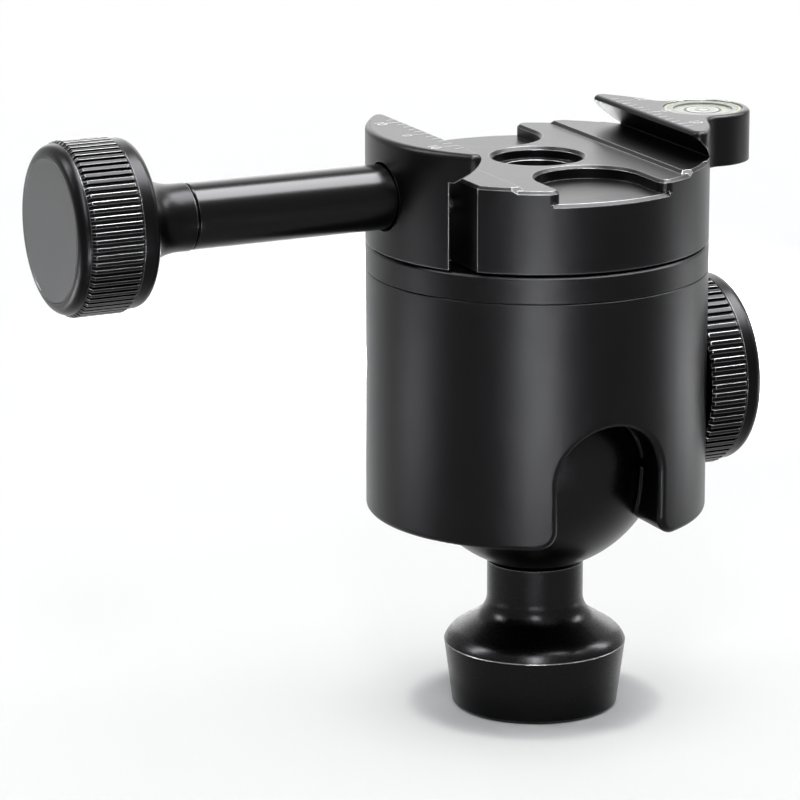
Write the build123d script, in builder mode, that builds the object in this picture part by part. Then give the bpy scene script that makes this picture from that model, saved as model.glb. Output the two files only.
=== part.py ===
"""Tripod ball head with a quick-release dovetail clamp, in millimetres.

The frame's origin is the centre of the foot's underside and +Z points up.  The clamp
screw runs along X (its long knob towards -X, the ball-lock knob towards +X), the
dovetail channel runs along Y, and the drop notch for the neck faces -Y.
"""

import os
from math import asin, cos, degrees, radians, sin, sqrt

from build123d import *

os.makedirs("parts", exist_ok=True)

# ---------------------------------------------------------------- clearances
RUN_FIT = 0.05  # radial clearance of a shaft that turns or slides in a bore
SEAT_GAP = 0.10  # between faces of pieces that move past each other
PRESS_GAP = 0.02  # between pieces that are assembled and stay together

# ---------------------------------------------------------------- foot and stem
FOOT_BOTTOM_R = 13.0
FOOT_RIM_R = 14.3
FOOT_H = 10.2
FOOT_EDGE = 0.4
SOCKET_DEPTH = 3.2  # how deep the stem sits in the foot
SOCKET_R = 9.0
THREAD_R = 4.7625  # 3/8 inch - 16 tripod thread
THREAD_LEN = 10.0
INSERT_R = 6.5
INSERT_END = 1.0  # floor of the insert above the thread
NECK_R = 7.55
STEM_H = 23.5  # top of the neck above the foot's underside
NECK_EDGE = 0.3
FLARE_TOP_Z = 17.6
FLARE_R = 4.2
SHOULDER_R = 12.6
SHOULDER_Z = 12.25
SPIGOT_R = 4.5
SPIGOT_LEN = 8.0

# ---------------------------------------------------------------- ball and its seats
BALL_R = 20.0
BALL_FLAT_INSET = 0.25  # neck radius less the radius of the ball's flat
LINER_GAP = 0.3
LINER_T = 0.95
CUP_ROOF = 1.3  # cup above the ball's top
CUP_BOTTOM = 1.0  # above the ball's centre
CUP_HOLE_R = 6.0
LINER_TOP = 0.5  # below the ball's centre
SPRING_T = 0.6

# ---------------------------------------------------------------- housing
HOUSING_WALL = 6.5  # beside the ball
HOUSING_R = BALL_R + HOUSING_WALL
SKIRT = 10.1  # housing below the ball's centre
HEADROOM = 8.3  # housing above the ball's top
LIP_GAP = 0.4
LIP_T = 1.2
NOTCH_R = 8.6
NOTCH_FLARE = 3.0
EDGE_R = 0.9
SEAM = 0.15

# ---------------------------------------------------------------- ball lock
LOCK_RISE = 9.0  # lock screw above the ball's centre
SPOT_DEPTH = 3.6
SPOT_GAP = 0.7  # round the lock knob
LOCK_SCREW_R = 3.95
LOCK_BUSH_R = 6.0
LOCK_BUSH_FLANGE_R = 7.6
LOCK_BUSH_FLANGE_T = 1.8
LOCK_TRAVEL = 1.5  # how far the shoe draws back from the ball
SHOE_R = 5.0
SHOE_T = 2.3
SHOE_GAP = 0.3
LOCK_KNOB_R = 15.3
LOCK_KNOB_BACK = 0.25  # gap between the knob and the spot face
LOCK_KNOB_L = 9.1
LOCK_RIBS_L = 6.25
LOCK_RIM_R = 14.9
LOCK_RIB_COUNT = 70
LOCK_BACK_EDGE = 0.4
KNOB_INLAY_T = 0.8

# ---------------------------------------------------------------- key screw
KEY_RISE = 11.8  # above the ball's centre
KEY_ANGLE = 155.0
KEY_R = 1.7
KEY_GAP = 0.7  # from the ball
KEY_SINK = 0.3  # tip below the housing's wall
KEY_DOME = 1.2
DIMPLE_RISE = 12.9  # above the ball's centre
DIMPLE_R = 4.1
DIMPLE_DEPTH = 1.3

# ---------------------------------------------------------------- top cap and pan bearing
CAP_T = 4.15
CAP_SKIRT_L = 6.0
CAP_SKIRT_T = 2.6
CAP_WALL = 3.0
CAP_BOSS_R = 8.0
CAP_BOSS_L = 4.6
CAP_EDGE = 0.3
PAN_GAP = 0.35
WASHER_IN_R = 9.0
WASHER_INSET = 6.5
WASHER_SINK = 0.8
PAN_SHOULDER_R = 4.0
PAN_THREAD_R = 3.0
PAN_THREAD_L = 7.0
PAN_HEAD_R = 5.2
PAN_HEAD_L = 5.0
PAN_HEX = 5.0
PAN_SPRING_T = 0.9

# ---------------------------------------------------------------- clamp body
CLAMP_H = 12.75  # clamp's underside to its bed
CLAMP_FLOOR = 4.0
RAIL_RISE = 0.5
RAIL_GAP = 5.0  # rail's edge to the jaw's lip
RAIL_END_INSET = 5.3
RAIL_EDGE = 0.45
BED_EDGE = 0.45
FINE_EDGE = 0.2
POCKET_R = 8.3
POCKET_INSET = 9.2
POCKET_DEPTH = 2.0
POCKET_BEVEL = 0.7
NOSE_R = 1.5
BORE_R = 7.0
BORE_DEPTH = 1.8
BORE_EDGE = 0.5
HEAD_WELL_R = 5.6
JAW_T = 4.43
JAW_RISE = 4.63  # jaw tops above the rails
LIP_BAND = 0.7
FIXED_JAW_T = 8.2  # lip to the outer wall
JAW_TIP_R = 1.3
FIXED_JAW_EDGE = 0.7
LEVEL_REACH = 2.4  # level's centre beyond the clamp's wall
LEVEL_LOBE_R = 7.35
LEVEL_LOBE_H = 8.0
LOBE_BLEND = 3.0

# ---------------------------------------------------------------- bubble level
LEVEL_SEAT_R = 6.3
LEVEL_SEAT_DEPTH = 6.2
LEVEL_WALL = 1.6
LEVEL_FLOOR = 1.2
LEVEL_WINDOW_T = 0.9
LEVEL_SINK = 0.15
LEVEL_RING_IN_R = 4.6
LEVEL_RING_T = 0.25
BUBBLE_R = 1.45
BUBBLE_H = 0.6

# ---------------------------------------------------------------- moving jaw
JAW_GAP = 2.8  # between jaw and body as the head stands
JAW_REACH = 4.2  # lip in front of the jaw's inner face
JAW_CLEAR = 0.1
JAW_EDGE = 0.9
JAW_SLOT_EDGE = 0.3
SCREW_DROP = 3.93  # clamp screw's axis below the bed
ROD_BORE_R = 5.35
ROD_SEAT = 2.0  # counterbore depth in the jaw's outer wall
LEAD_R = 2.95
LEAD_L = 11.5  # beyond the rod's end
LEAD_BORE_L = 10.7
THRUST_T = 0.5
CLIP_T = 0.6
CLIP_R = 4.4
PIN_R = 1.25
PIN_Y = 8.5
PIN_SINK = 2.0  # pressed into the jaw
PIN_L = 10.5
PIN_BORE_L = 10.4

# ---------------------------------------------------------------- clamp knob
ROD_R = 5.0
ROD_L = 33.4
GROOVE_W = 0.35
GROOVE_DEPTH = 0.45
ROD_TENON_L = 6.0
KNOB_NECK_R = 5.1
KNOB_NECK_L = 1.5
KNOB_FLARE_L = 7.1
KNOB_FLARE_END_R = 11.0
KNOB_RIM_R = 12.7
KNOB_R = 13.15
KNOB_REAR_L = 2.9
KNOB_RIBS_L = 8.3
KNOB_FRONT_L = 1.65
KNOB_EDGE = 1.5
KNOB_INLAY_R = 10.8
RIB_COUNT = 72
RIB_DEPTH = 0.55
RIB_SHARE = 0.52  # groove width as a share of the rib pitch

# ---------------------------------------------------------------- heights and stations
BALL_Z = STEM_H + SEAT_GAP + sqrt(BALL_R**2 - (NECK_R - BALL_FLAT_INSET) ** 2)
HOUSING_BOTTOM_Z = BALL_Z - SKIRT
HOUSING_TOP_Z = BALL_Z + BALL_R + HEADROOM
SEAT_R = BALL_R + LINER_GAP + LINER_T
CAP_TOP_Z = HOUSING_TOP_Z + CAP_T
CLAMP_Z = CAP_TOP_Z + PAN_GAP
BED_Z = CLAMP_Z + CLAMP_H
RAIL_Z = BED_Z + RAIL_RISE
JAW_TOP_Z = RAIL_Z + JAW_RISE
LOCK_Z = BALL_Z + LOCK_RISE
KEY_Z = BALL_Z + KEY_RISE
SCREW_Z = BED_Z - SCREW_DROP
JAW_FACE_X = JAW_T - HOUSING_R
BODY_FACE_X = JAW_FACE_X + JAW_GAP
FIXED_LIP_X = HOUSING_R - FIXED_JAW_T
RAIL_X = FIXED_LIP_X - RAIL_GAP
RAIL_END_Y = HOUSING_R - RAIL_END_INSET
RAIL_END_X = sqrt(HOUSING_R**2 - RAIL_END_Y**2) + SEAM
POCKET_Y = HOUSING_R - POCKET_INSET
POCKET_SPAN = 2 * degrees(asin((POCKET_R + NOSE_R) / HOUSING_R))
LEVEL_X = HOUSING_R + LEVEL_REACH
SPOT_X = HOUSING_R - SPOT_DEPTH
WASHER_OUT_R = HOUSING_R - WASHER_INSET
KEY_START = sqrt((BALL_R + KEY_GAP) ** 2 - (KEY_RISE - KEY_R) ** 2)
KEY_END = HOUSING_R - KEY_SINK
ROD_END_X = -HOUSING_R + ROD_SEAT
WELL_Z = CLAMP_Z + CLAMP_FLOOR


def lathe_plane(z):
    """XZ plane whose local origin is on the X-parallel axis at height z."""
    return Plane(origin=(0, 0, z), x_dir=(1, 0, 0), z_dir=(0, -1, 0))


def x_plane(x, z):
    """Plane across X at station x, centred on height z (local x is Y, local y is Z)."""
    return Plane(origin=(x, 0, z), x_dir=(0, 1, 0), z_dir=(1, 0, 0))


def spoke_plane(reach, z, angle):
    """Plane across the horizontal spoke at an angle, at a distance from the Z axis."""
    out = Vector(cos(radians(angle)), sin(radians(angle)), 0)
    return Plane(origin=out * reach + Vector(0, 0, z), x_dir=(0, 0, 1), z_dir=out)


# ================================================================ foot
with BuildPart() as foot:
    with BuildSketch(Plane.XZ):
        with BuildLine():
            Polyline(
                (INSERT_R, 0),
                (FOOT_BOTTOM_R - FOOT_EDGE, 0),
                (FOOT_BOTTOM_R, FOOT_EDGE),
                (FOOT_RIM_R, FOOT_H),
                (SOCKET_R, FOOT_H),
                (SOCKET_R, FOOT_H - SOCKET_DEPTH),
                (INSERT_R, FOOT_H - SOCKET_DEPTH),
                close=True,
            )
        make_face()
    revolve(axis=Axis.Z)
foot.part.label = "foot"

# ================================================================ thread insert
with BuildPart() as thread_insert:
    with BuildSketch(Plane.XY):
        Circle(INSERT_R - PRESS_GAP)
    extrude(amount=THREAD_LEN + INSERT_END)
    with BuildSketch(Plane.XY):
        Circle(THREAD_R)
    extrude(amount=THREAD_LEN, mode=Mode.SUBTRACT)
thread_insert.part.label = "thread_insert"

# ================================================================ stem
STEM_BASE_Z = FOOT_H - SOCKET_DEPTH
with BuildPart() as stem:
    with BuildSketch(Plane.XZ):
        with BuildLine():
            rise = Polyline(
                (0, STEM_H + SPIGOT_LEN),
                (SPIGOT_R, STEM_H + SPIGOT_LEN),
                (SPIGOT_R, STEM_H),
                (NECK_R - NECK_EDGE, STEM_H),
                (NECK_R, STEM_H - NECK_EDGE),
                (NECK_R, FLARE_TOP_Z),
            )
            hollow = TangentArc(rise @ 1, (NECK_R + 2.1, FLARE_TOP_Z - 3.5), tangent=(0, -1))
            slope = Line(hollow @ 1, (SHOULDER_R, SHOULDER_Z))
            TangentArc(slope @ 1, (FOOT_RIM_R, FOOT_H + PRESS_GAP), tangent=slope % 1)
            Polyline(
                (FOOT_RIM_R, FOOT_H + PRESS_GAP),
                (SOCKET_R - PRESS_GAP, FOOT_H + PRESS_GAP),
                (SOCKET_R - PRESS_GAP, STEM_BASE_Z + PRESS_GAP),
                (0, STEM_BASE_Z + PRESS_GAP),
                (0, STEM_H + SPIGOT_LEN),
            )
        make_face()
    revolve(axis=Axis.Z)
    with BuildSketch(Plane.XY.offset(STEM_BASE_Z)):
        Circle(INSERT_R)
    insert_top = THREAD_LEN + INSERT_END + PRESS_GAP
    extrude(amount=insert_top - STEM_BASE_Z, mode=Mode.SUBTRACT)
stem.part.label = "stem"

# ================================================================ ball
BALL_FLAT_Z = STEM_H + SEAT_GAP
with BuildPart() as ball:
    with Locations((0, 0, BALL_Z)):
        Sphere(BALL_R)
    split(bisect_by=Plane.XY.offset(BALL_FLAT_Z), keep=Keep.TOP)
    with BuildSketch(Plane.XY.offset(BALL_FLAT_Z)):
        Circle(SPIGOT_R + RUN_FIT)
    extrude(amount=SPIGOT_LEN, mode=Mode.SUBTRACT)
ball.part.label = "ball"


# ================================================================ drop notch outline
# round top on the ball's centre, corners flared outwards at the housing's underside
with BuildSketch(Plane.XZ) as notch:
    with BuildLine():
        notch_low = HOUSING_BOTTOM_Z
        left = Line((-NOTCH_R, BALL_Z), (-NOTCH_R, notch_low + NOTCH_FLARE))
        out_left = TangentArc(left @ 1, (-NOTCH_R - NOTCH_FLARE, notch_low), tangent=(0, -1))
        base = Polyline(
            out_left @ 1,
            (-NOTCH_R - NOTCH_FLARE, notch_low - NOTCH_FLARE),
            (NOTCH_R + NOTCH_FLARE, notch_low - NOTCH_FLARE),
            (NOTCH_R + NOTCH_FLARE, notch_low),
        )
        out_right = TangentArc(base @ 1, (NOTCH_R, notch_low + NOTCH_FLARE), tangent=(-1, 0))
        right = Line(out_right @ 1, (NOTCH_R, BALL_Z))
        ThreePointArc(right @ 1, (0, BALL_Z + NOTCH_R), left @ 0)
    make_face()

# ================================================================ housing
with BuildPart() as housing:
    with BuildSketch(Plane.XY.offset(HOUSING_BOTTOM_Z)):
        Circle(HOUSING_R)
    extrude(amount=HOUSING_TOP_Z - HOUSING_BOTTOM_Z)
    with BuildSketch(Plane.XZ):
        with BuildLine():
            seat_low = BALL_Z - SKIRT + LIP_T
            seat_low_r = sqrt(SEAT_R**2 - (BALL_Z - seat_low) ** 2)
            lip_top_r = sqrt((BALL_R + LIP_GAP) ** 2 - (BALL_Z - seat_low) ** 2)
            lip_r = sqrt((BALL_R + LIP_GAP) ** 2 - SKIRT**2)
            top_line = Polyline(
                (0, HOUSING_TOP_Z), (SEAT_R, HOUSING_TOP_Z), (SEAT_R, BALL_Z)
            )
            mid = radians(-12)
            bowl = ThreePointArc(
                top_line @ 1,
                (SEAT_R * cos(mid), BALL_Z + SEAT_R * sin(mid)),
                (seat_low_r, seat_low),
            )
            Polyline(
                bowl @ 1,
                (lip_top_r, seat_low),
                (lip_r, HOUSING_BOTTOM_Z),
                (0, HOUSING_BOTTOM_Z),
                (0, HOUSING_TOP_Z),
            )
        make_face()
    revolve(axis=Axis.Z, mode=Mode.SUBTRACT)
    extrude(notch.sketch, amount=2 * HOUSING_R, mode=Mode.SUBTRACT)
    outer_rims = (
        housing.faces()
        .filter_by(GeomType.CYLINDER)
        .sort_by(lambda face: face.area)[-1]
        .edges()
        .filter_by(lambda edge: edge.center().Z < HOUSING_TOP_Z - 1)
    )
    fillet(outer_rims, EDGE_R)
    chamfer(housing.edges().filter_by(GeomType.CIRCLE).group_by(Axis.Z)[-1], SEAM)
    # spot face and bore for the lock bush
    with BuildSketch(x_plane(SPOT_X, LOCK_Z)):
        Circle(LOCK_KNOB_R + SPOT_GAP)
    extrude(amount=HOUSING_R, mode=Mode.SUBTRACT)
    with BuildSketch(x_plane(0, LOCK_Z)):
        Circle(LOCK_BUSH_R)
    extrude(amount=HOUSING_R, mode=Mode.SUBTRACT)
    # dimple and hole for the key screw
    with Locations(spoke_plane(HOUSING_R + DIMPLE_R - DIMPLE_DEPTH, BALL_Z + DIMPLE_RISE, KEY_ANGLE)):
        Sphere(DIMPLE_R, mode=Mode.SUBTRACT)
    with BuildSketch(spoke_plane(0, KEY_Z, KEY_ANGLE)):
        Circle(KEY_R + PRESS_GAP)
    extrude(amount=HOUSING_R, mode=Mode.SUBTRACT)
housing.part.label = "housing"

# ================================================================ lower liner
with BuildPart() as lower_liner:
    with BuildSketch(Plane.XY.offset(HOUSING_BOTTOM_Z + LIP_T)):
        Circle(HOUSING_R)
    extrude(amount=SKIRT - LIP_T - LINER_TOP)
    with Locations((0, 0, BALL_Z)):
        Sphere(SEAT_R - PRESS_GAP, mode=Mode.INTERSECT)
        Sphere(BALL_R + LINER_GAP, mode=Mode.SUBTRACT)
    extrude(notch.sketch, amount=HOUSING_R, mode=Mode.SUBTRACT)
lower_liner.part.label = "lower_liner"

# ================================================================ upper cup
with BuildPart() as upper_cup:
    with BuildSketch(Plane.XY.offset(BALL_Z + CUP_BOTTOM)):
        Circle(SEAT_R - PRESS_GAP)
    extrude(amount=BALL_R + CUP_ROOF - CUP_BOTTOM)
    with Locations((0, 0, BALL_Z)):
        Sphere(BALL_R + LINER_GAP, mode=Mode.SUBTRACT)
    with BuildSketch(Plane.XY.offset(BALL_Z)):
        Circle(CUP_HOLE_R)
    extrude(amount=BALL_R + CUP_ROOF, mode=Mode.SUBTRACT)
    extrude(notch.sketch, amount=HOUSING_R, mode=Mode.SUBTRACT)
    with BuildSketch(x_plane(0, LOCK_Z)):
        Circle(LOCK_BUSH_R + SEAT_GAP)
    extrude(amount=HOUSING_R, mode=Mode.SUBTRACT)
    with BuildSketch(spoke_plane(KEY_START - SEAT_GAP, KEY_Z, KEY_ANGLE)):
        Circle(KEY_R + SEAT_GAP)
    extrude(amount=HOUSING_R, mode=Mode.SUBTRACT)
upper_cup.part.label = "upper_cup"

# ================================================================ wave spring
CUP_TOP_Z = BALL_Z + BALL_R + CUP_ROOF
with BuildPart() as cup_spring:
    with BuildSketch(Plane.XY.offset(CUP_TOP_Z + PRESS_GAP)):
        Circle(SEAT_R - CAP_SKIRT_T / 4)
        Circle(SEAT_R - CAP_SKIRT_T, mode=Mode.SUBTRACT)
    extrude(amount=SPRING_T)
cup_spring.part.label = "cup_spring"

# ================================================================ top cap
CAP_SKIRT_Z = CUP_TOP_Z + SPRING_T + 2 * PRESS_GAP
with BuildPart() as top_cap:
    with BuildSketch(Plane.XZ):
        with BuildLine():
            skirt_r = SEAT_R - PRESS_GAP
            roof_z = CAP_TOP_Z - WASHER_SINK - CAP_WALL
            Polyline(
                (PAN_THREAD_R, CAP_TOP_Z),
                (WASHER_IN_R - SEAT_GAP, CAP_TOP_Z),
                (WASHER_IN_R - SEAT_GAP, CAP_TOP_Z - WASHER_SINK),
                (WASHER_OUT_R + SEAT_GAP, CAP_TOP_Z - WASHER_SINK),
                (WASHER_OUT_R + SEAT_GAP, CAP_TOP_Z),
                (HOUSING_R - CAP_EDGE, CAP_TOP_Z),
                (HOUSING_R, CAP_TOP_Z - CAP_EDGE),
                (HOUSING_R, HOUSING_TOP_Z + SEAM),
                (HOUSING_R - SEAM, HOUSING_TOP_Z),
                (skirt_r, HOUSING_TOP_Z),
                (skirt_r, CAP_SKIRT_Z),
                (skirt_r - CAP_SKIRT_T, CAP_SKIRT_Z),
                (skirt_r - CAP_SKIRT_T, roof_z),
                (CAP_BOSS_R, roof_z),
                (CAP_BOSS_R, roof_z - CAP_BOSS_L),
                (PAN_THREAD_R, roof_z - CAP_BOSS_L),
                close=True,
            )
        make_face()
    revolve(axis=Axis.Z)
top_cap.part.label = "top_cap"

# ================================================================ thrust washer
with BuildPart() as thrust_washer:
    with BuildSketch(Plane.XY.offset(CAP_TOP_Z - WASHER_SINK)):
        Circle(WASHER_OUT_R)
        Circle(WASHER_IN_R, mode=Mode.SUBTRACT)
    extrude(amount=WASHER_SINK + PAN_GAP - RUN_FIT)
thrust_washer.part.label = "thrust_washer"

# ================================================================ pan screw and its spring
HEAD_Z = WELL_Z + 2 * RUN_FIT + PAN_SPRING_T
with BuildPart() as pan_screw:
    with BuildSketch(Plane.XY.offset(CAP_TOP_Z + PRESS_GAP)):
        Circle(PAN_SHOULDER_R)
    extrude(amount=HEAD_Z - CAP_TOP_Z)
    with BuildSketch(Plane.XY.offset(CAP_TOP_Z + PRESS_GAP)):
        Circle(PAN_THREAD_R - PRESS_GAP)
    extrude(amount=-PAN_THREAD_L)
    with BuildSketch(Plane.XY.offset(HEAD_Z)):
        Circle(PAN_HEAD_R)
    extrude(amount=PAN_HEAD_L)
    chamfer(pan_screw.edges().group_by(Axis.Z)[-1], 0.4)
    with BuildSketch(Plane.XY.offset(HEAD_Z + PAN_HEAD_L)):
        RegularPolygon(PAN_HEX / 2, 6, major_radius=False)
    extrude(amount=-PAN_HEAD_L / 2, mode=Mode.SUBTRACT)
pan_screw.part.label = "pan_screw"

with BuildPart() as pan_spring:
    with BuildSketch(Plane.XZ):
        with BuildLine():
            half = PAN_SPRING_T / 2
            z0 = WELL_Z + RUN_FIT
            Polyline(
                (PAN_SHOULDER_R + RUN_FIT, z0 + half),
                (PAN_HEAD_R, z0),
                (PAN_HEAD_R, z0 + half),
                (PAN_SHOULDER_R + RUN_FIT, z0 + PAN_SPRING_T),
                close=True,
            )
        make_face()
    revolve(axis=Axis.Z)
pan_spring.part.label = "pan_spring"

# ================================================================ lock bush, shoe and screw
SHOE_REACH = sqrt((BALL_R + SHOE_GAP) ** 2 - LOCK_RISE**2)
SHOE_BACK_X = SHOE_REACH + SHOE_T
with BuildPart() as lock_bush:
    with BuildSketch(x_plane(0, LOCK_Z)):
        Circle(LOCK_BUSH_R - PRESS_GAP)
    extrude(amount=SPOT_X + LOCK_BUSH_FLANGE_T)
    with Locations((0, 0, BALL_Z)):
        Sphere(BALL_R + SHOE_GAP, mode=Mode.SUBTRACT)
    with BuildSketch(x_plane(SPOT_X + PRESS_GAP, LOCK_Z)):
        Circle(LOCK_BUSH_FLANGE_R)
    extrude(amount=LOCK_BUSH_FLANGE_T - PRESS_GAP)
    with BuildSketch(x_plane(0, LOCK_Z)):
        Circle(SHOE_R + RUN_FIT)
    extrude(amount=SHOE_BACK_X + LOCK_TRAVEL + SEAT_GAP, mode=Mode.SUBTRACT)
    with BuildSketch(x_plane(0, LOCK_Z)):
        Circle(LOCK_SCREW_R + RUN_FIT)
    extrude(amount=HOUSING_R * 2, mode=Mode.SUBTRACT)
lock_bush.part.label = "lock_bush"

with BuildPart() as lock_shoe:
    with BuildSketch(x_plane(SHOE_BACK_X, LOCK_Z)):
        Circle(SHOE_R)
    extrude(amount=-BALL_R / 2)
    with Locations((0, 0, BALL_Z)):
        Sphere(BALL_R + SHOE_GAP, mode=Mode.SUBTRACT)
lock_shoe.part.label = "lock_shoe"

KNOB_BACK_X = SPOT_X + LOCK_KNOB_BACK
KNOB_HUB_X = SPOT_X + LOCK_BUSH_FLANGE_T + LOCK_KNOB_BACK
with BuildPart() as lock_screw:
    with BuildSketch(x_plane(SHOE_BACK_X + RUN_FIT, LOCK_Z)):
        Circle(LOCK_SCREW_R)
    screw_end = KNOB_BACK_X + LOCK_KNOB_L - 2 * KNOB_INLAY_T
    extrude(amount=screw_end - SHOE_BACK_X - RUN_FIT)
    chamfer(lock_screw.edges().group_by(Axis.X)[0], 0.4)
lock_screw.part.label = "lock_screw"


def rib_grooves(count, root, crest):
    """Ring of grooves with spoke-wise sides, drawn in a BuildSketch across the knob's axis."""
    half = radians(180 / count * RIB_SHARE)
    spots = ((root, -half), (crest, -half), (crest, half), (root, half))
    with PolarLocations(0, count):
        Polygon(*[(reach * cos(turn), reach * sin(turn)) for reach, turn in spots], align=None)


# ================================================================ ball-lock knob
with BuildPart() as lock_knob:
    back, front = KNOB_BACK_X, KNOB_BACK_X + LOCK_KNOB_L
    root = LOCK_KNOB_R - RIB_DEPTH
    with BuildSketch(lathe_plane(LOCK_Z)):
        with BuildLine():
            skin = Polyline(
                (KNOB_HUB_X, LOCK_SCREW_R + PRESS_GAP),
                (KNOB_HUB_X, LOCK_BUSH_FLANGE_R + 1.0),
                (back, LOCK_BUSH_FLANGE_R + 1.0),
                (back, LOCK_KNOB_R - LOCK_BACK_EDGE),
                (back + LOCK_BACK_EDGE, LOCK_KNOB_R),
                (back + LOCK_RIBS_L - RIB_DEPTH, LOCK_KNOB_R),
                (back + LOCK_RIBS_L, root),
                (back + LOCK_RIBS_L, LOCK_RIM_R),
                (front - KNOB_EDGE, LOCK_RIM_R),
            )
            rim = TangentArc(skin @ 1, (front, LOCK_RIM_R - KNOB_EDGE), tangent=(1, 0))
            Polyline(
                rim @ 1,
                (front, KNOB_INLAY_R),
                (front - KNOB_INLAY_T, KNOB_INLAY_R),
                (front - KNOB_INLAY_T, LOCK_SCREW_R + PRESS_GAP),
                (KNOB_HUB_X, LOCK_SCREW_R + PRESS_GAP),
            )
        make_face()
    revolve(axis=Axis((0, 0, LOCK_Z), (1, 0, 0)))
    with BuildSketch(x_plane(back, LOCK_Z)):
        rib_grooves(LOCK_RIB_COUNT, root, LOCK_KNOB_R + SEAT_GAP)
    extrude(amount=LOCK_RIBS_L, mode=Mode.SUBTRACT)
lock_knob.part.label = "lock_knob"

with BuildPart() as lock_knob_inlay:
    with BuildSketch(x_plane(KNOB_BACK_X + LOCK_KNOB_L - KNOB_INLAY_T + PRESS_GAP, LOCK_Z)):
        Circle(KNOB_INLAY_R - SEAT_GAP)
    extrude(amount=KNOB_INLAY_T - PRESS_GAP)
lock_knob_inlay.part.label = "lock_knob_inlay"

# ================================================================ key screw
with BuildPart() as key_screw:
    with BuildSketch(spoke_plane(KEY_START, KEY_Z, KEY_ANGLE)):
        Circle(KEY_R)
    extrude(amount=KEY_END - KEY_START)
    spoke = Axis((0, 0, KEY_Z), (cos(radians(KEY_ANGLE)), sin(radians(KEY_ANGLE)), 0))
    fillet(key_screw.edges().filter_by(GeomType.CIRCLE).sort_by(spoke)[-1], KEY_DOME)
key_screw.part.label = "key_screw"

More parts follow.
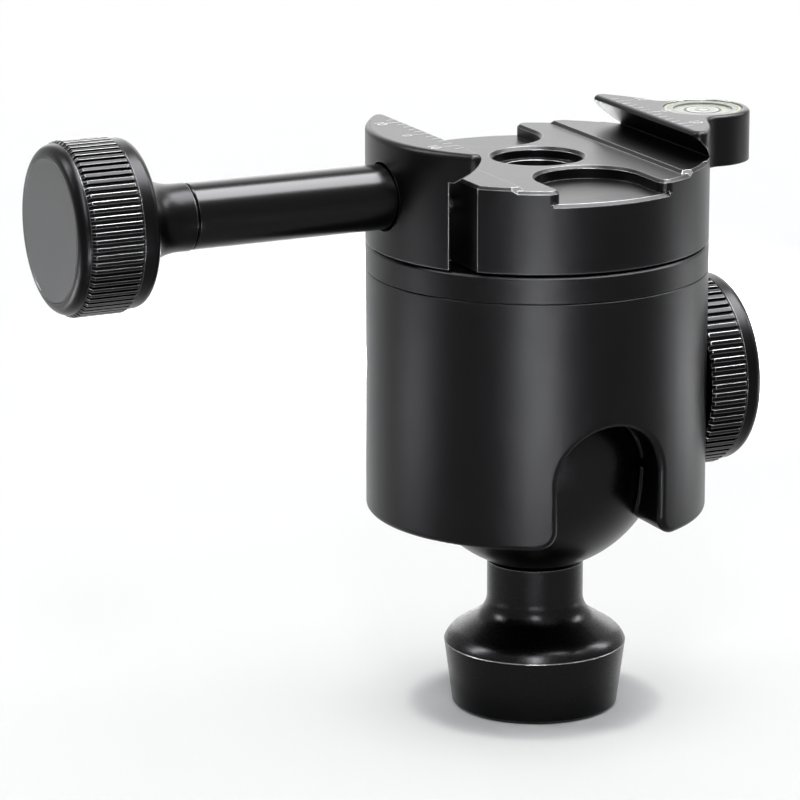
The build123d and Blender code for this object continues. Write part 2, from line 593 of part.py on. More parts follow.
# ================================================================ clamp body
LOBE_Z = JAW_TOP_Z - LEVEL_LOBE_H
V_DEPTH = JAW_RISE - LIP_BAND
with BuildPart() as clamp_body:
    with BuildSketch(Plane.XY.offset(CLAMP_Z)):
        Circle(HOUSING_R)
        with Locations((BODY_FACE_X, 0)):
            Rectangle(4 * HOUSING_R, 4 * HOUSING_R, align=(Align.MIN, Align.CENTER), mode=Mode.INTERSECT)
    extrude(amount=CLAMP_H + RAIL_RISE)
    chamfer(clamp_body.edges().group_by(Axis.Z)[-1], RAIL_EDGE)
    chamfer(clamp_body.edges().group_by(Axis.Z)[0], FINE_EDGE)
    # fixed jaw and the lobe that carries the level, one plan outline
    with BuildSketch(Plane.XY.offset(LOBE_Z)) as jaw_plan:
        Circle(HOUSING_R)
        with Locations((LEVEL_X, 0)):
            Circle(LEVEL_LOBE_R)
        fillet(jaw_plan.vertices(), LOBE_BLEND)
        with Locations((FIXED_LIP_X, 0)):
            Rectangle(2 * HOUSING_R, 2 * HOUSING_R, align=(Align.MIN, Align.CENTER), mode=Mode.INTERSECT)
        fillet(jaw_plan.vertices().group_by(Axis.X)[0], JAW_TIP_R)
    extrude(amount=LEVEL_LOBE_H)
    jaw_rim = clamp_body.faces().sort_by(Axis.Z)[-1].edges()
    fillet(jaw_rim.filter_by(lambda edge: edge.center().X > FIXED_LIP_X + SEAM), FIXED_JAW_EDGE)
    with BuildSketch(Plane.XZ):
        with BuildLine():
            Polyline(
                (FIXED_LIP_X - 1, RAIL_Z),
                (FIXED_LIP_X + V_DEPTH, RAIL_Z),
                (FIXED_LIP_X, JAW_TOP_Z - LIP_BAND),
                (FIXED_LIP_X - 1, JAW_TOP_Z - LIP_BAND),
                close=True,
            )
        make_face()
    extrude(amount=HOUSING_R, both=True, mode=Mode.SUBTRACT)
    # bed sunk between the two rails
    with BuildSketch(Plane.XY.offset(RAIL_Z)):
        Rectangle(2 * (RAIL_X + RAIL_RISE), 4 * HOUSING_R)
        with Locations((0, RAIL_END_Y + HOUSING_R), (0, -RAIL_END_Y - HOUSING_R)):
            Rectangle(2 * RAIL_END_X, 2 * HOUSING_R)
    extrude(amount=-RAIL_RISE, taper=45, mode=Mode.SUBTRACT)
    # pockets with a half-round end, open to the rim
    with BuildSketch(Plane.XY.offset(BED_Z)) as pockets:
        with Locations((0, POCKET_Y), (0, -POCKET_Y)):
            Circle(POCKET_R)
        with Locations((0, POCKET_Y + HOUSING_R), (0, -POCKET_Y - HOUSING_R)):
            Rectangle(2 * POCKET_R, 2 * HOUSING_R)
    extrude(amount=-POCKET_DEPTH, mode=Mode.SUBTRACT)
    noses = clamp_body.edges().filter_by(Axis.Z).filter_by(
        lambda edge: abs(abs(edge.center().X) - POCKET_R) < SEAM
    )
    fillet(noses, NOSE_R)
    for heading in (90 - POCKET_SPAN / 2, 270 - POCKET_SPAN / 2):
        with BuildSketch(Plane.XZ.rotated((0, 0, heading))):
            with Locations((HOUSING_R, BED_Z - POCKET_DEPTH)):
                Rectangle(POCKET_BEVEL, POCKET_BEVEL, rotation=45)
        revolve(axis=Axis.Z, revolution_arc=POCKET_SPAN, mode=Mode.SUBTRACT)
    # counterbored well of the pan screw
    for radius, top, depth in (
        (BORE_R, BED_Z, BORE_DEPTH),
        (HEAD_WELL_R, BED_Z, CLAMP_H - CLAMP_FLOOR),
        (PAN_SHOULDER_R + RUN_FIT, BED_Z, CLAMP_H),
    ):
        with BuildSketch(Plane.XY.offset(top)):
            Circle(radius)
        extrude(amount=-depth, mode=Mode.SUBTRACT)
    bed_edges = clamp_body.edges().filter_by_position(Axis.Z, BED_Z - 0.01, BED_Z + 0.01)
    chamfer(bed_edges.filter_by(lambda edge: edge.is_closed), BORE_EDGE)
    # every bed edge but the rails' feet and ends
    bed_rims = bed_edges.filter_by(Axis.X, reverse=True)
    chamfer(bed_rims.filter_by(lambda edge: abs(edge.center().Y) > BORE_R), BED_EDGE)
    # clamp screw and guide pins
    with BuildSketch(x_plane(BODY_FACE_X, SCREW_Z)):
        Circle(LEAD_R + RUN_FIT)
    extrude(amount=LEAD_BORE_L, mode=Mode.SUBTRACT)
    with BuildSketch(x_plane(BODY_FACE_X, SCREW_Z)):
        with Locations((PIN_Y, 0), (-PIN_Y, 0)):
            Circle(PIN_R + RUN_FIT)
    extrude(amount=PIN_BORE_L, mode=Mode.SUBTRACT)
    # seat of the level
    with BuildSketch(Plane.XY.offset(JAW_TOP_Z)):
        with Locations((LEVEL_X, 0)):
            Circle(LEVEL_SEAT_R)
    extrude(amount=-LEVEL_SEAT_DEPTH, mode=Mode.SUBTRACT)
clamp_body.part.label = "clamp_body"

# ================================================================ moving jaw
LIP_X = JAW_FACE_X + JAW_REACH
JAW_V_Z = RAIL_Z + JAW_CLEAR
JAW_V_X = LIP_X - (JAW_TOP_Z - LIP_BAND - JAW_V_Z)
with BuildPart() as moving_jaw:
    with BuildSketch(Plane.XY.offset(CLAMP_Z)) as half_moon:
        Circle(HOUSING_R)
        with Locations((LIP_X, 0)):
            Rectangle(2 * HOUSING_R, 2 * HOUSING_R, align=(Align.MAX, Align.CENTER), mode=Mode.INTERSECT)
        fillet(half_moon.vertices(), JAW_TIP_R)
    extrude(amount=JAW_TOP_Z - CLAMP_Z)
    top_edges = moving_jaw.faces().sort_by(Axis.Z)[-1].edges()
    fillet(top_edges.filter_by(lambda edge: edge.center().X < LIP_X - SEAM), JAW_EDGE)
    with BuildSketch(Plane.XZ):
        with BuildLine():
            Polyline(
                (JAW_FACE_X, CLAMP_Z),
                (JAW_FACE_X, JAW_V_Z),
                (JAW_V_X, JAW_V_Z),
                (LIP_X, JAW_TOP_Z - LIP_BAND),
                (LIP_X + 1, JAW_TOP_Z - LIP_BAND),
                (LIP_X + 1, CLAMP_Z),
                close=True,
            )
        make_face()
    extrude(amount=HOUSING_R, both=True, mode=Mode.SUBTRACT)
    # rod counterbore, lead screw hole and clip recess
    with BuildSketch(x_plane(ROD_END_X, SCREW_Z)):
        Circle(ROD_BORE_R)
    extrude(amount=-HOUSING_R, mode=Mode.SUBTRACT)
    with BuildSketch(x_plane(ROD_END_X, SCREW_Z)):
        Circle(LEAD_R + RUN_FIT)
    extrude(amount=HOUSING_R, mode=Mode.SUBTRACT)
    with BuildSketch(x_plane(JAW_FACE_X, SCREW_Z)):
        Circle(CLIP_R + SEAT_GAP)
    extrude(amount=-CLIP_T - SEAT_GAP, mode=Mode.SUBTRACT)
    with BuildSketch(x_plane(JAW_FACE_X, SCREW_Z)):
        with Locations((PIN_Y, 0), (-PIN_Y, 0)):
            Circle(PIN_R + PRESS_GAP)
    extrude(amount=-PIN_SINK, mode=Mode.SUBTRACT)
    slot_edges = moving_jaw.edges().filter_by(Axis.Z)
    chamfer(slot_edges.filter_by_position(Axis.X, JAW_FACE_X - 0.01, JAW_FACE_X + 0.01), JAW_SLOT_EDGE)
moving_jaw.part.label = "moving_jaw"

# ================================================================ guide pins, clip, thrust washer
with BuildPart() as guide_pins:
    with BuildSketch(x_plane(JAW_FACE_X - PIN_SINK + PRESS_GAP, SCREW_Z)):
        with Locations((PIN_Y, 0), (-PIN_Y, 0)):
            Circle(PIN_R)
    extrude(amount=PIN_L)
guide_pins.part.label = "guide_pins"

with BuildPart() as screw_clip:
    with BuildSketch(x_plane(JAW_FACE_X - RUN_FIT, SCREW_Z)):
        Circle(CLIP_R)
        Circle(LEAD_R + PRESS_GAP, mode=Mode.SUBTRACT)
        with Locations((0, -CLIP_R)):
            Rectangle(LEAD_R, 2 * CLIP_R, mode=Mode.SUBTRACT)
    extrude(amount=-CLIP_T)
screw_clip.part.label = "screw_clip"

with BuildPart() as thrust_ring:
    with BuildSketch(x_plane(ROD_END_X - PRESS_GAP, SCREW_Z)):
        Circle(ROD_R)
        Circle(LEAD_R + RUN_FIT, mode=Mode.SUBTRACT)
    extrude(amount=-THRUST_T)
thrust_ring.part.label = "thrust_ring"

# ================================================================ lead screw and rod
ROD_START_X = ROD_END_X - THRUST_T - RUN_FIT
ROD_TAIL_X = ROD_START_X - ROD_L
with BuildPart() as lead_screw:
    with BuildSketch(x_plane(ROD_START_X - ROD_L / 3, SCREW_Z)):
        Circle(LEAD_R)
    extrude(amount=ROD_L / 3 + LEAD_L)
    chamfer(lead_screw.edges().group_by(Axis.X)[-1], 0.5)
lead_screw.part.label = "lead_screw"

with BuildPart() as clamp_rod:
    tenon_r = ROD_R - GROOVE_DEPTH
    with BuildSketch(x_plane(ROD_START_X, SCREW_Z)):
        Circle(ROD_R)
    extrude(amount=-ROD_L)
    chamfer(clamp_rod.edges(), 0.2)
    with BuildSketch(x_plane(ROD_TAIL_X, SCREW_Z)):
        Circle(tenon_r)
    extrude(amount=-ROD_TENON_L)
    with BuildSketch(x_plane(ROD_START_X, SCREW_Z)):
        Circle(LEAD_R + PRESS_GAP)
    extrude(amount=-ROD_L / 3 - PRESS_GAP, mode=Mode.SUBTRACT)
clamp_rod.part.label = "clamp_rod"

# ================================================================ clamp knob
NECK_X = ROD_TAIL_X - GROOVE_W
with BuildPart() as clamp_knob:
    flare_x = NECK_X - KNOB_NECK_L
    rear_x = flare_x - KNOB_FLARE_L
    ribs_x = rear_x - KNOB_REAR_L
    front_x = ribs_x - KNOB_RIBS_L
    face_x = front_x - KNOB_FRONT_L
    tenon_bore_r = ROD_R - GROOVE_DEPTH + PRESS_GAP
    tenon_end_x = ROD_TAIL_X - ROD_TENON_L - PRESS_GAP
    root = KNOB_R - RIB_DEPTH
    with BuildSketch(lathe_plane(SCREW_Z)):
        with BuildLine():
            neck = Polyline(
                (tenon_end_x, 0),
                (tenon_end_x, tenon_bore_r),
                (NECK_X, tenon_bore_r),
                (NECK_X, KNOB_NECK_R),
                (flare_x, KNOB_NECK_R),
            )
            flare = Spline(
                neck @ 1, (rear_x, KNOB_FLARE_END_R), tangents=[(-1, 0), (-0.2, 1)]
            )
            rear = Line(flare @ 1, (rear_x, KNOB_RIM_R - KNOB_EDGE))
            rear_round = TangentArc(rear @ 1, (rear_x - KNOB_EDGE, KNOB_RIM_R), tangent=(0, 1))
            grip = Polyline(
                rear_round @ 1,
                (ribs_x, KNOB_RIM_R),
                (ribs_x, root),
                (ribs_x - RIB_DEPTH, KNOB_R),
                (front_x + RIB_DEPTH, KNOB_R),
                (front_x, root),
                (front_x, KNOB_RIM_R),
            )
            front_round = TangentArc(
                grip @ 1, (face_x, KNOB_RIM_R - KNOB_FRONT_L), tangent=(-1, 0)
            )
            Polyline(
                front_round @ 1,
                (face_x, KNOB_INLAY_R),
                (face_x + KNOB_INLAY_T, KNOB_INLAY_R),
                (face_x + KNOB_INLAY_T, 0),
                (tenon_end_x, 0),
            )
        make_face()
    revolve(axis=Axis((0, 0, SCREW_Z), (1, 0, 0)))
    with BuildSketch(x_plane(front_x, SCREW_Z)):
        rib_grooves(RIB_COUNT, root, KNOB_R + SEAT_GAP)
    extrude(amount=KNOB_RIBS_L, mode=Mode.SUBTRACT)
clamp_knob.part.label = "clamp_knob"

with BuildPart() as clamp_knob_inlay:
    with BuildSketch(x_plane(face_x + KNOB_INLAY_T - PRESS_GAP, SCREW_Z)):
        Circle(KNOB_INLAY_R - SEAT_GAP)
    extrude(amount=-KNOB_INLAY_T + PRESS_GAP)
clamp_knob_inlay.part.label = "clamp_knob_inlay"

# ================================================================ bubble level
LEVEL_R = LEVEL_SEAT_R - RUN_FIT
LEVEL_BASE_Z = JAW_TOP_Z - LEVEL_SEAT_DEPTH + PRESS_GAP
LEVEL_FACE_Z = JAW_TOP_Z - LEVEL_SINK
with BuildPart() as level_vial:
    with BuildSketch(Plane.XY.offset(LEVEL_BASE_Z)):
        with Locations((LEVEL_X, 0)):
            Circle(LEVEL_R)
    extrude(amount=LEVEL_FACE_Z - LEVEL_RING_T - LEVEL_BASE_Z)
    with BuildSketch(Plane.XY.offset(LEVEL_BASE_Z + LEVEL_FLOOR)):
        with Locations((LEVEL_X, 0)):
            Circle(LEVEL_R - LEVEL_WALL)
    chamber = LEVEL_FACE_Z - LEVEL_RING_T - LEVEL_WINDOW_T - LEVEL_BASE_Z - LEVEL_FLOOR
    extrude(amount=chamber, mode=Mode.SUBTRACT)
level_vial.part.label = "level_vial"

with BuildPart() as level_fluid:
    with BuildSketch(Plane.XY.offset(LEVEL_BASE_Z + LEVEL_FLOOR)):
        with Locations((LEVEL_X, 0)):
            Circle(LEVEL_R - LEVEL_WALL)
    extrude(amount=chamber)
    bubble_top_z = LEVEL_BASE_Z + LEVEL_FLOOR + chamber
    with BuildSketch(Plane.XY.offset(bubble_top_z)):
        with Locations((LEVEL_X, 0)):
            Circle(BUBBLE_R)
    extrude(amount=-BUBBLE_H, mode=Mode.SUBTRACT)
level_fluid.part.label = "level_fluid"

with BuildPart() as level_bubble:
    with BuildSketch(Plane.XY.offset(bubble_top_z)):
        with Locations((LEVEL_X, 0)):
            Circle(BUBBLE_R)
    extrude(amount=-BUBBLE_H)
    chamfer(level_bubble.edges().group_by(Axis.Z)[0], BUBBLE_H * 0.5)
level_bubble.part.label = "level_bubble"

with BuildPart() as level_ring:
    with BuildSketch(Plane.XY.offset(LEVEL_FACE_Z - LEVEL_RING_T)):
        with Locations((LEVEL_X, 0)):
            Circle(LEVEL_R)
            Circle(LEVEL_RING_IN_R, mode=Mode.SUBTRACT)
    extrude(amount=LEVEL_RING_T)
level_ring.part.label = "level_ring"

PIECES = (
    foot,
    thread_insert,
    stem,
    ball,
    housing,
    lower_liner,
    upper_cup,
    cup_spring,
    top_cap,
    thrust_washer,
    pan_screw,
    pan_spring,
    lock_bush,
    lock_shoe,
    lock_screw,
    lock_knob,
    lock_knob_inlay,
    key_screw,
    clamp_body,
    moving_jaw,
    guide_pins,
    screw_clip,
    thrust_ring,
    lead_screw,
    clamp_rod,
    clamp_knob,
    clamp_knob_inlay,
    level_vial,
    level_fluid,
    level_bubble,
    level_ring,
)
for piece in PIECES:
    export_step(piece.part, f"parts/{piece.part.label}.step")
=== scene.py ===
"""Looks of the tripod ball head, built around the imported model."""

import math

import bmesh
import bpy
from mathutils import Matrix, Vector


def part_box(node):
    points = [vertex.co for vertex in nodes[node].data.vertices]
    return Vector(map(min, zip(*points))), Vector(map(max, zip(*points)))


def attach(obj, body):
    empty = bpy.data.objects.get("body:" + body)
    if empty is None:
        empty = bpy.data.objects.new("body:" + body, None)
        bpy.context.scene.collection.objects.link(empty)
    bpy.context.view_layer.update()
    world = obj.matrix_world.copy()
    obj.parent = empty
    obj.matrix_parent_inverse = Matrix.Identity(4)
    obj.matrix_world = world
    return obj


MM = 0.001

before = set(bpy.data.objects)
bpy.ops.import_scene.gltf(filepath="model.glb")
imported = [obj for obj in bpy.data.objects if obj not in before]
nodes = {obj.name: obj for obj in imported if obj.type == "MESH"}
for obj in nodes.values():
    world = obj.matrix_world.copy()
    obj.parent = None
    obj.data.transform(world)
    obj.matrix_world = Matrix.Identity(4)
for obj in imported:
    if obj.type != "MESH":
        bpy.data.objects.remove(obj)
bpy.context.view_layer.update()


# ---------------------------------------------------------------- materials
BEVEL_SAMPLES = 8
CORNER_SAMPLES = 6
CORNER_REACH = 3  # how far an inside corner is looked for, in edge radii
FLAT_TURN = 0.995  # cosine between face and bevelled normal where an edge begins
EDGE_TURN = 0.93  # and where it is fully an edge
CORNER_OPEN = 0.65  # share of open sky at which an edge still counts as inside
EDGE_OPEN = 0.9  # and at which it counts as outside
GRAIN_RELIEF = 0.3  # height of the grain, as a share of its size
METAL_GRAIN = 0.16 * MM
PLASTIC_GRAIN = 0.2 * MM
FINE_EDGE = 0.1 * MM
# radius of the edge rounding, of the painted edge highlight on the metals and of the inlay's
# dark line
WIDE_EDGE = 0.16 * MM
MIX_A, MIX_B, MIX_RESULT = 6, 7, 2  # colour sockets of the Mix node


class Shader:
    """A Principled material with short calls for the nodes that feed it."""

    def __init__(self, name, color, metallic, roughness):
        self.material = bpy.data.materials.new(name)
        self.material.use_nodes = True
        self.tree = self.material.node_tree
        self.bsdf = self.tree.nodes["Principled BSDF"]
        self.bsdf.inputs["Base Color"].default_value = (*color, 1)
        self.bsdf.inputs["Metallic"].default_value = metallic
        self.bsdf.inputs["Roughness"].default_value = roughness

    def node(self, kind, **values):
        """Adds a node; a value goes to the input of that name, or else to the attribute."""
        made = self.tree.nodes.new(kind)
        for key, value in values.items():
            if key in made.inputs:
                made.inputs[key].default_value = value
            else:
                setattr(made, key, value)
        return made

    def link(self, source, target):
        self.tree.links.new(source, target)

    def grain(self, size, bump, spread, middle):
        """Fine grain: a bump of that size, and a roughness that varies about its middle."""
        place = self.node("ShaderNodeTexCoord")
        noise = self.node("ShaderNodeTexNoise", Scale=1 / size, Detail=2.0)
        self.link(place.outputs["Object"], noise.inputs["Vector"])
        spread_map = self.node("ShaderNodeMapRange")
        spread_map.inputs["To Min"].default_value = middle - spread
        spread_map.inputs["To Max"].default_value = middle + spread
        self.link(noise.outputs["Fac"], spread_map.inputs["Value"])
        self.link(spread_map.outputs["Result"], self.bsdf.inputs["Roughness"])
        rise = self.node("ShaderNodeBump", Strength=bump, Distance=size * GRAIN_RELIEF)
        self.link(noise.outputs["Fac"], rise.inputs["Height"])
        return rise

    def edges(self, radius, rise):
        """Rounds the shading of sharp edges by a small radius."""
        bevel = self.node("ShaderNodeBevel", samples=BEVEL_SAMPLES)
        bevel.inputs["Radius"].default_value = radius
        self.link(bevel.outputs["Normal"], rise.inputs["Normal"])
        self.link(rise.outputs["Normal"], self.bsdf.inputs["Normal"])

    def paint_outer_edges(self, color, edge_color, radius):
        """Paints the sharp outer edges in edge_color: a painted highlight on the metals, a dark
        line on the inlay; inside corners keep the face's colour.
        """
        bevel = self.node("ShaderNodeBevel", samples=BEVEL_SAMPLES)
        bevel.inputs["Radius"].default_value = radius
        true = self.node("ShaderNodeNewGeometry")
        turn = self.node("ShaderNodeVectorMath", operation="DOT_PRODUCT")
        self.link(bevel.outputs["Normal"], turn.inputs[0])
        self.link(true.outputs["Normal"], turn.inputs[1])
        mask = self.node("ShaderNodeMapRange")
        mask.inputs["From Min"].default_value = FLAT_TURN
        mask.inputs["From Max"].default_value = EDGE_TURN
        self.link(turn.outputs["Value"], mask.inputs["Value"])
        inside = self.node("ShaderNodeAmbientOcclusion", samples=CORNER_SAMPLES, only_local=True)
        inside.inputs["Distance"].default_value = CORNER_REACH * radius
        open_side = self.node("ShaderNodeMapRange")
        open_side.inputs["From Min"].default_value = CORNER_OPEN
        open_side.inputs["From Max"].default_value = EDGE_OPEN
        self.link(inside.outputs["AO"], open_side.inputs["Value"])
        # share of the edge colour: a painted highlight on the metals, a dark line on the inlay
        painted_edge = self.node("ShaderNodeMath", operation="MULTIPLY")
        self.link(mask.outputs["Result"], painted_edge.inputs[0])
        self.link(open_side.outputs["Result"], painted_edge.inputs[1])
        mix = self.node("ShaderNodeMix", data_type="RGBA")
        mix.inputs[MIX_A].default_value = (*color, 1)
        mix.inputs[MIX_B].default_value = (edge_color, edge_color, edge_color, 1)
        self.link(painted_edge.outputs[0], mix.inputs[0])
        self.link(mix.outputs[MIX_RESULT], self.bsdf.inputs["Base Color"])


def anodised(name, color, roughness, grain, edge, edge_color=0.16):
    """Black anodised metal; edge_color is the grey of its painted edge highlight."""
    made = Shader(name, color, 1.0, roughness)
    rise = made.grain(size=METAL_GRAIN, bump=grain, spread=0.06, middle=roughness)
    made.edges(edge, rise)
    made.paint_outer_edges(color, edge_color, edge)
    return made.material


def plain(name, color, metallic, roughness):
    """Plastic, ink or bare metal, with a fine grain."""
    made = Shader(name, color, metallic, roughness)
    rise = made.grain(size=PLASTIC_GRAIN, bump=0.05, spread=0.04, middle=roughness)
    made.edges(FINE_EDGE, rise)
    return made.material


def inlay(name, color, roughness):
    """Matte disc with a dark line round its edge."""
    made = Shader(name, color, 0.0, roughness)
    rise = made.grain(size=PLASTIC_GRAIN, bump=0.3, spread=0.04, middle=roughness)
    made.edges(FINE_EDGE, rise)
    made.paint_outer_edges(color, 0.002, WIDE_EDGE)
    return made.material


# These blacks are darker than the record's, to match the photo in white surroundings.
# The last number is the grey of the painted edge highlight; KNOB and BALL_COAT take the default.
SATIN = anodised("anodised_satin", (0.010, 0.010, 0.0105), 0.34, 0.25, WIDE_EDGE, 0.26)
SHELL = anodised("anodised_shell", (0.010, 0.010, 0.0105), 0.34, 0.30, WIDE_EDGE, 0.025)
KNOB = anodised("anodised_knob", (0.0070, 0.0070, 0.0075), 0.31, 0.04, WIDE_EDGE)
GLOSS = anodised("anodised_gloss", (0.012, 0.012, 0.0125), 0.22, 0.03, FINE_EDGE, 0.03)
FOOT_GLOSS = anodised("anodised_foot", (0.012, 0.012, 0.0125), 0.26, 0.05, 0.14 * MM, 0.35)
BALL_COAT = anodised("ball_coat", (0.012, 0.012, 0.0125), 0.30, 0.05, 0.05 * MM)
INLAY = inlay("inlay_plastic", (0.028, 0.028, 0.029), 0.5)
ACETAL = plain("bearing_plastic", (0.8, 0.79, 0.74), 0.0, 0.45)
DARK_ACETAL = plain("dark_bearing_plastic", (0.012, 0.012, 0.013), 0.0, 0.5)
STEEL = plain("steel", (0.55, 0.55, 0.56), 1.0, 0.32)
DARK_STEEL = plain("dark_steel", (0.09, 0.09, 0.095), 1.0, 0.35)
BRASS = plain("brass", (0.78, 0.6, 0.28), 1.0, 0.3)
ACRYLIC = plain("vial_plastic", (0.36, 0.375, 0.29), 0.0, 0.35)
FLUID = plain("level_fluid", (0.62, 0.83, 0.45), 0.0, 0.12)
BUBBLE = plain("level_bubble", (0.86, 0.95, 0.80), 0.0, 0.08)
RING = plain("level_ring", (0.22, 0.225, 0.23), 0.0, 0.45)
# white print of the scales, also used for the painted highlight on the level's bubble
INK_AND_GLINT = plain("white_ink_and_painted_glint", (0.85, 0.85, 0.85), 0.0, 0.6)
# black print of the level's circle, also used for the painted shade in the level's seat gap
BLACK_INK_AND_SHADE = plain("black_ink_and_painted_shade", (0.01, 0.01, 0.01), 0.0, 0.5)
# painted light: the green of light coming through the level's clear side
GREEN_REFRACTION = plain("painted_green_refraction", (0.55, 0.72, 0.12), 0.0, 0.25)

LOOKS = {
    SATIN: ("key_screw", "clamp_body", "moving_jaw"),
    SHELL: ("housing", "top_cap"),
    KNOB: ("lock_knob", "clamp_knob"),
    GLOSS: ("clamp_rod",),
    FOOT_GLOSS: ("foot", "stem"),
    BALL_COAT: ("ball",),
    INLAY: ("lock_knob_inlay", "clamp_knob_inlay"),
    ACETAL: ("thrust_washer", "lock_shoe", "thrust_ring"),
    DARK_ACETAL: ("lower_liner", "upper_cup"),
    STEEL: (
        "thread_insert", "cup_spring", "pan_spring", "lock_screw", "screw_clip", "lead_screw",
    ),
    DARK_STEEL: ("pan_screw", "guide_pins"),
    BRASS: ("lock_bush",),
    ACRYLIC: ("level_vial",),
    FLUID: ("level_fluid",),
    BUBBLE: ("level_bubble",),
    RING: ("level_ring",),
}
for look, members in LOOKS.items():
    for member in members:
        nodes[member].data.materials.clear()
        nodes[member].data.materials.append(look)


# ---------------------------------------------------------------- small helpers
def mesh_object(name, mesh, material):
    made = bpy.data.objects.new(name, mesh)
    bpy.context.collection.objects.link(made)
    mesh.materials.clear()
    mesh.materials.append(material)
    return made


BOX_SIDES = [(0, 2, 3, 1), (4, 5, 7, 6), (0, 1, 5, 4), (1, 3, 7, 5), (3, 2, 6, 7), (2, 0, 4, 6)]


def slab(name, x_span, y_span, z_span, material):
    """A box between those limits, each from low to high."""
    corners = [(x, y, z) for z in z_span for y in y_span for x in x_span]
    mesh = bpy.data.meshes.new(name)
    mesh.from_pydata(corners, [], BOX_SIDES)
    return mesh_object(name, mesh, material)


# ---------------------------------------------------------------- engraved scales
SCALE_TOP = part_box("moving_jaw")[1].z
INK_SINK = 0.01 * MM
INK_RISE = 0.012 * MM
TICK_W = 0.15 * MM
LEFT_TICKS_X = -18.5 * MM
RIGHT_TICKS_X = 19.0 * MM
TICK_LONG = 2.9 * MM
TICK_SHORT = 1.5 * MM
TICK_STEP = 2.0 * MM
TICK_SPAN = 6  # ticks on each side of the middle one
LONG_EVERY = 5
LABEL_SIZE = 2.4 * MM


def tick(name, x0, x1, y, body):
    half = TICK_W / 2
    heights = (SCALE_TOP - INK_SINK, SCALE_TOP + INK_RISE)
    made = slab(name, sorted((x0, x1)), (y - half, y + half), heights, INK_AND_GLINT)
    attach(made, body)


def label(name, words, x, y, body):
    font = bpy.data.curves.new(name, "FONT")
    font.body = words
    font.size = LABEL_SIZE
    font.align_x = "CENTER"
    font.align_y = "CENTER"
    font.extrude = INK_RISE
    made = bpy.data.objects.new(name, font)
    bpy.context.collection.objects.link(made)
    font.materials.append(INK_AND_GLINT)
    turn = Matrix.Rotation(-math.pi / 2, 4, "Z")
    made.matrix_world = Matrix.Translation((x, y, SCALE_TOP)) @ turn
    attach(made, body)


def scale(side, start_x, toward, label_places, body):
    """A row of ticks from a line at start_x, and its generic numbers."""
    for i in range(-TICK_SPAN, TICK_SPAN + 1):
        end_x = start_x + toward * (TICK_LONG if i % LONG_EVERY == 0 else TICK_SHORT)
        tick(f"{side}_tick_{i + TICK_SPAN}", start_x, end_x, i * TICK_STEP, body)
    for i, (words, x, y) in enumerate(label_places):
        label(f"{side}_label_{i}", words, x * MM, y * MM, body)


# numbers and their places in millimetres
LEFT_LABELS = (("10", -22.3, -9.5), ("0", -22.3, 0.0), ("10", -22.0, 10.0))
RIGHT_LABELS = (("10", 22.2, -9.8), ("0", 22.3, 0.0), ("10", 23.4, 10.2))
scale("left", LEFT_TICKS_X, -1, LEFT_LABELS, "jaw")
scale("right", RIGHT_TICKS_X, 1, RIGHT_LABELS, "clamp")

# ---------------------------------------------------------------- level details
ring_low, ring_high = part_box("level_ring")
LEVEL = (ring_low + ring_high) / 2
LEVEL_TOP = ring_high.z
RING_STEPS = 96


def annulus(name, inner, outer, low, high, material, body, centre):
    """A flat ring round a vertical axis."""
    work = bmesh.new()
    turns = [math.tau * i / RING_STEPS for i in range(RING_STEPS)]
    loops = []
    for radius, z in ((inner, low), (outer, low), (outer, high), (inner, high)):
        places = [
            (centre.x + radius * math.cos(turn), centre.y + radius * math.sin(turn), z)
            for turn in turns
        ]
        loops.append([work.verts.new(place) for place in places])
    for a, b in zip(loops, loops[1:] + loops[:1]):
        for i in range(RING_STEPS):
            j = (i + 1) % RING_STEPS
            work.faces.new((a[i], a[j], b[j], b[i]))
    bmesh.ops.recalc_face_normals(work, faces=work.faces)
    mesh = bpy.data.meshes.new(name)
    work.to_mesh(mesh)
    work.free()
    made = mesh_object(name, mesh, material)
    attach(made, body)


WINDOW_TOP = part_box("level_vial")[1].z
LAYER_SINK = 0.02 * MM
LAYER_RISE = 0.03 * MM
for name, inner, outer, under, look in (
    ("level_circle", 2.5, 2.95, WINDOW_TOP, BLACK_INK_AND_SHADE),
    ("level_halo", 2.3, 2.5, WINDOW_TOP, INK_AND_GLINT),
    ("bubble_rim", 0.95, 1.2, WINDOW_TOP, RING),
    # painted highlight: a white disc for the bubble's glint
    ("bubble_glint", 0.05, 0.6, WINDOW_TOP, INK_AND_GLINT),
    # painted light: a green ring for light coming through the vial's side
    ("level_edge_refraction", 5.72, 5.92, LEVEL_TOP, GREEN_REFRACTION),
    # painted shade: a black ring where the seat gap lies in shade
    ("painted_seat_shade", 5.95, 6.24, LEVEL_TOP, BLACK_INK_AND_SHADE),
):
    low, high = under - LAYER_SINK, under + LAYER_RISE
    annulus(name, inner * MM, outer * MM, low, high, look, "clamp", LEVEL)

# ---------------------------------------------------------------- camera
CAMERA_AT = Vector((-0.316121, -0.616853, 0.23148))
CAMERA_LOOK = Vector((0.414514, 0.873667, -0.254722))
CAMERA_UP = Vector((0.110803, 0.229367, 0.967013))
LENS = 206.84  # with a sensor 36 mm wide

camera_data = bpy.data.cameras.new("camera")
camera_data.lens = LENS
camera_data.sensor_width = 36
camera_data.clip_start = 0.01
camera_data.clip_end = 50
camera = bpy.data.objects.new("camera", camera_data)
bpy.context.collection.objects.link(camera)
back = -CAMERA_LOOK.normalized()
side = CAMERA_UP.cross(back).normalized()
up = back.cross(side)
facing = Matrix((side, up, back)).transposed().to_4x4()
camera.matrix_world = Matrix.Translation(CAMERA_AT) @ facing
bpy.context.scene.camera = camera

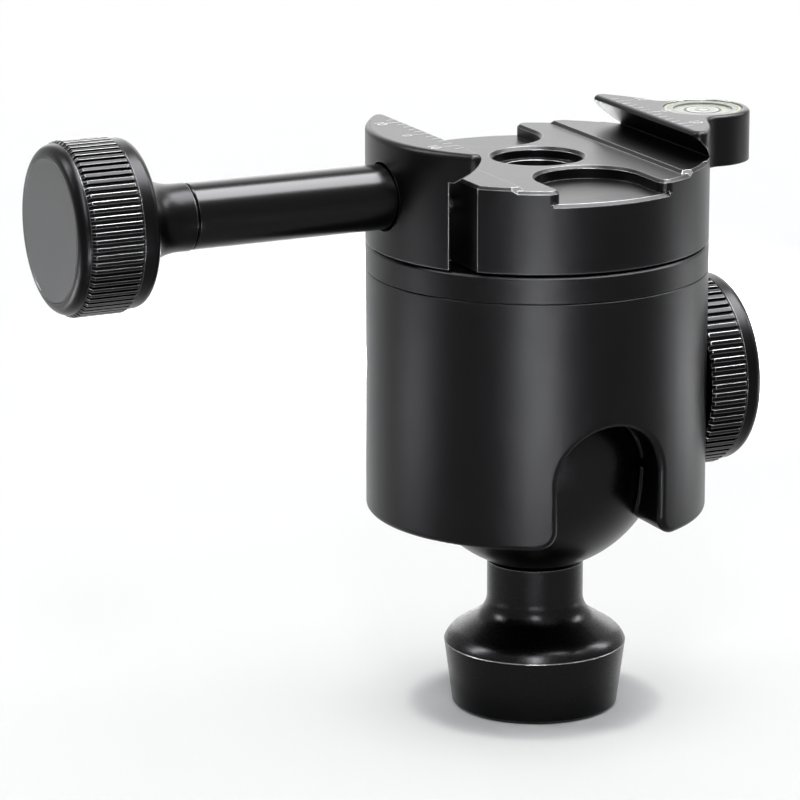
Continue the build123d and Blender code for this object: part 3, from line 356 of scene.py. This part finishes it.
# ---------------------------------------------------------------- floor, world and lamps
def seen_or_mirrored(tree):
    """1 for the rays that see a thing, mirror it or show it through glass, and 0 for light."""
    path = tree.nodes.new("ShaderNodeLightPath")
    seen = path.outputs["Is Camera Ray"]
    for ray in ("Is Glossy Ray", "Is Transmission Ray"):
        either = tree.nodes.new("ShaderNodeMath")
        either.operation = "MAXIMUM"
        tree.links.new(seen, either.inputs[0])
        tree.links.new(path.outputs[ray], either.inputs[1])
        seen = either.outputs[0]
    return seen


FLOOR_HALF = 6.0
FLOOR_DROP = 0.05 * MM
floor_mesh = bpy.data.meshes.new("floor")
floor_corners = [
    (FLOOR_HALF * x, FLOOR_HALF * y, 0) for x, y in ((-1, -1), (1, -1), (1, 1), (-1, 1))
]
floor_mesh.from_pydata(floor_corners, [], [(0, 1, 2, 3)])
GLOW_REACH = 0.6
# The glow is painted light: from 20 mm out it lightens the head's shadow on the floor, and it
# stays low from 0.15 to 0.33 m where the pools lie.
GLOW_SHARES = (  # distance from the stem's axis, and the share of the floor's own glow there
    (0.018, 0.0),
    (0.0205, 0.5),
    (0.035, 0.65),
    (0.110, 0.7),
    (0.150, 0.1),
    (0.330, 0.1),
    (0.500, 0.9),
)


def floor_material():
    """Pale floor with a painted glow for the rays that see or mirror it, none within 18 mm of
    the stem.
    """
    look = Shader("floor", (0.95, 0.955, 0.965), 0.0, 0.6)
    look.bsdf.inputs["Specular IOR Level"].default_value = 0.0
    place = look.node("ShaderNodeNewGeometry")
    reach = look.node("ShaderNodeVectorMath", operation="LENGTH")
    look.link(place.outputs["Position"], reach.inputs[0])
    part = look.node("ShaderNodeMapRange")
    part.inputs["From Max"].default_value = GLOW_REACH
    look.link(reach.outputs["Value"], part.inputs["Value"])
    ramp = look.node("ShaderNodeValToRGB")
    stops = ramp.color_ramp.elements
    while len(stops) < len(GLOW_SHARES):
        stops.new(1.0)
    for stop, (distance, amount) in zip(stops, GLOW_SHARES):
        stop.position = distance / GLOW_REACH
        stop.color = (amount, amount, amount, 1)
    look.link(part.outputs["Result"], ramp.inputs["Fac"])
    share = look.node("ShaderNodeMath", operation="MULTIPLY")
    look.link(seen_or_mirrored(look.tree), share.inputs[0])
    look.link(ramp.outputs["Color"], share.inputs[1])
    glow = look.node("ShaderNodeEmission")
    mix = look.node("ShaderNodeMixShader")
    look.link(share.outputs[0], mix.inputs["Fac"])
    look.link(look.bsdf.outputs[0], mix.inputs[1])
    look.link(glow.outputs[0], mix.inputs[2])
    look.link(mix.outputs[0], look.tree.nodes["Material Output"].inputs["Surface"])
    return look.material


floor = mesh_object("floor", floor_mesh, floor_material())
floor.location.z = -FLOOR_DROP

VIEW_HEADING = math.atan2(-CAMERA_LOOK.y, -CAMERA_LOOK.x)
FILL_LIGHT = 0.15  # share of the plain light level that comes from all around


def build_world():
    """Even fill light, with a white background for the rays that see or mirror it."""
    world = bpy.data.worlds.new("studio")
    bpy.context.scene.world = world
    world.use_nodes = True
    tree = world.node_tree
    fill = tree.nodes["Background"]
    fill.inputs["Strength"].default_value = FILL_LIGHT
    fill.inputs["Color"].default_value = (0.93, 0.96, 1.0, 1)
    white = tree.nodes.new("ShaderNodeBackground")
    mix = tree.nodes.new("ShaderNodeMixShader")
    tree.links.new(seen_or_mirrored(tree), mix.inputs["Fac"])
    tree.links.new(fill.outputs[0], mix.inputs[1])
    tree.links.new(white.outputs[0], mix.inputs[2])
    tree.links.new(mix.outputs[0], tree.nodes["World Output"].inputs["Surface"])


build_world()


LAMP_AIM = Vector((0, 0, 50 * MM))
POOL_LAMP_H = 0.7
POOL_LAMP_R = 0.01


def place_lamp(name, lamp, heading, reach, height):
    """Puts a lamp at a heading in degrees from the camera's side, hidden from the camera."""
    made = bpy.data.objects.new(name, lamp)
    bpy.context.collection.objects.link(made)
    turn = VIEW_HEADING + math.radians(heading)
    made.location = (reach * math.cos(turn), reach * math.sin(turn), height)
    made.visible_camera = False
    return made


def softbox(name, heading, rise, distance, width, tall, share, sheen_only=False):
    """An area lamp aimed at the head, with that share of the plain light level.

    A sheen lamp is seen in gloss only and adds nothing to a surface's colour.
    """
    lamp = bpy.data.lights.new(name, "AREA")
    lamp.shape = "RECTANGLE"
    lamp.size = width
    lamp.size_y = tall
    lamp.energy = share * math.pi**2 * distance**2
    reach = distance * math.cos(math.radians(rise))
    height = LAMP_AIM.z + distance * math.sin(math.radians(rise))
    made = place_lamp(name, lamp, heading, reach, height)
    made.rotation_mode = "QUATERNION"
    made.rotation_quaternion = (made.location - LAMP_AIM).to_track_quat("Z", "Y")
    made.visible_diffuse = not sheen_only


def pool(name, heading, reach, radius, level):
    """A spot lamp over the floor beside the head; upright faces mirror its pool of light.

    Its level is that many times the plain light level, on the floor at the pool's middle.
    """
    lamp = bpy.data.lights.new(name, "SPOT")
    lamp.spot_size = 2 * math.atan2(radius, POOL_LAMP_H)
    lamp.spot_blend = 1.0
    lamp.shadow_soft_size = POOL_LAMP_R
    lamp.energy = level * 4 * math.pi**2 * POOL_LAMP_H**2
    place_lamp(name, lamp, heading, reach, POOL_LAMP_H)


# name, heading, rise in degrees, distance, width, height, share of the plain level
softbox("front box", 0, 45, 1.0, 0.12, 0.26, 0.20)
softbox("left box", -95, 36, 0.8, 0.10, 0.30, 0.17)
softbox("top box", 105, 80, 2.0, 1.6, 1.6, 0.72)
softbox("back box", 180, 24, 1.5, 1.4, 1.2, 0.36)
# the sheen lamps stand for large white panels; the top one is far above the plain level
softbox("top sheen", 105, 70, 2.2, 1.5, 1.5, 5.8, sheen_only=True)
softbox("edge sheen", 0, 76, 1.2, 0.45, 0.25, 0.75, sheen_only=True)
softbox("front sheen", 0, 45, 1.1, 0.17, 0.75, 1.2, sheen_only=True)
softbox("left sheen", -95, 45, 1.1, 0.17, 0.75, 1.1, sheen_only=True)
softbox("right sheen", 114, 40, 1.1, 0.17, 0.60, 0.9, sheen_only=True)
# name, heading, distance from the stem, radius, level
pool("front pool", 0, 0.22, 0.07, 58)
pool("far front pool", 0, 0.37, 0.05, 60)
pool("left pool", -84, 0.22, 0.075, 17)
pool("right pool", 108, 0.24, 0.09, 9)
pool("back pool", 180, 0.24, 0.10, 6)

bpy.context.scene.view_settings.view_transform = "Standard"
